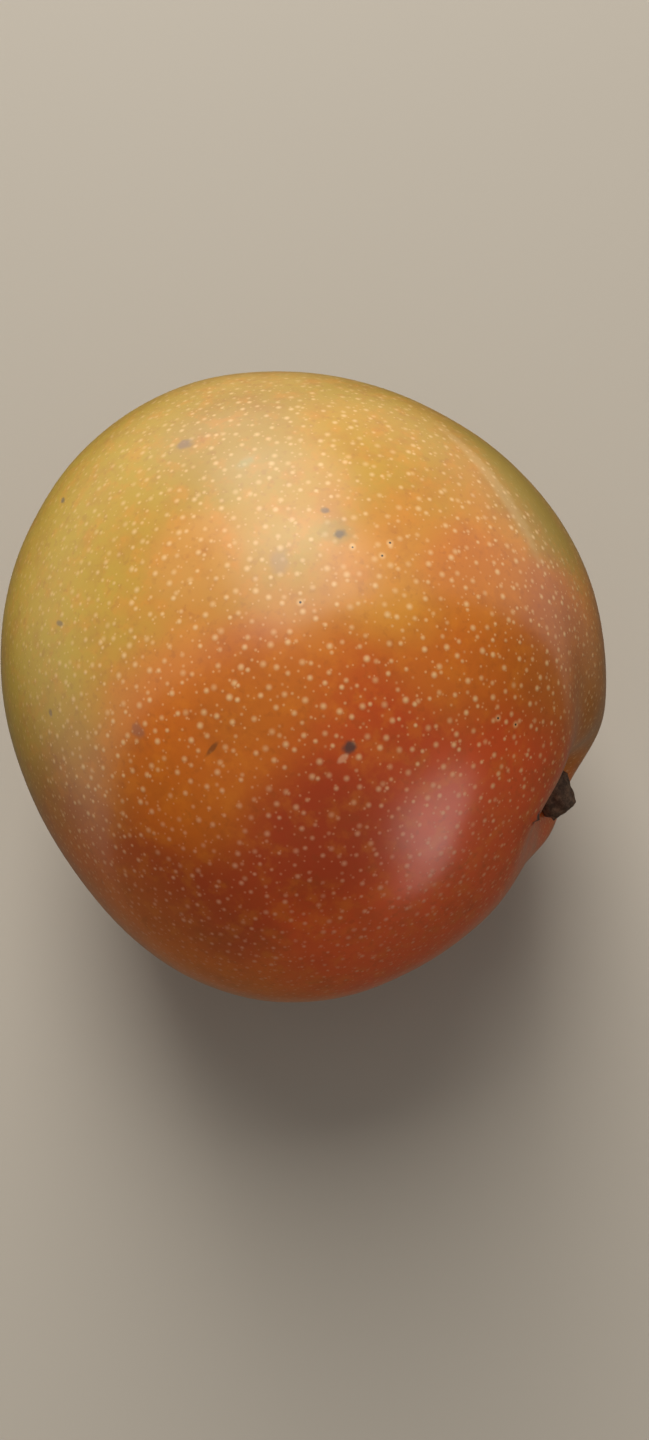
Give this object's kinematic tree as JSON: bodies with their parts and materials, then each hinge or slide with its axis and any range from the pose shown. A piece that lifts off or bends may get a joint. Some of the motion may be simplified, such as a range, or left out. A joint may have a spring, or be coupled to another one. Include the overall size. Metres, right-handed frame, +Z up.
{
  "type": "mango",
  "caption": "Ripe round red and orange mango lying on its cheek, with a cut stub of its stalk in the hollow at the stem end.",
  "frame": {"origin": "middle of the small flat spot that the fruit rests on, at its lowest point", "axes": "+X towards the stem end, +Y towards the belly side, +Z up through the upper cheek"},
  "size_m": [0.1076, 0.1088, 0.0906],
  "materials": {
    "skin": "satin waxy fruit skin, red to orange with a yellow-green side and pale dots",
    "stalk_wood": "dry, dark brown, rough"
  },
  "bodies": {
    "root": {"fruit": "skin", "stem": "stalk_wood"}
  },
  "joints": []
}
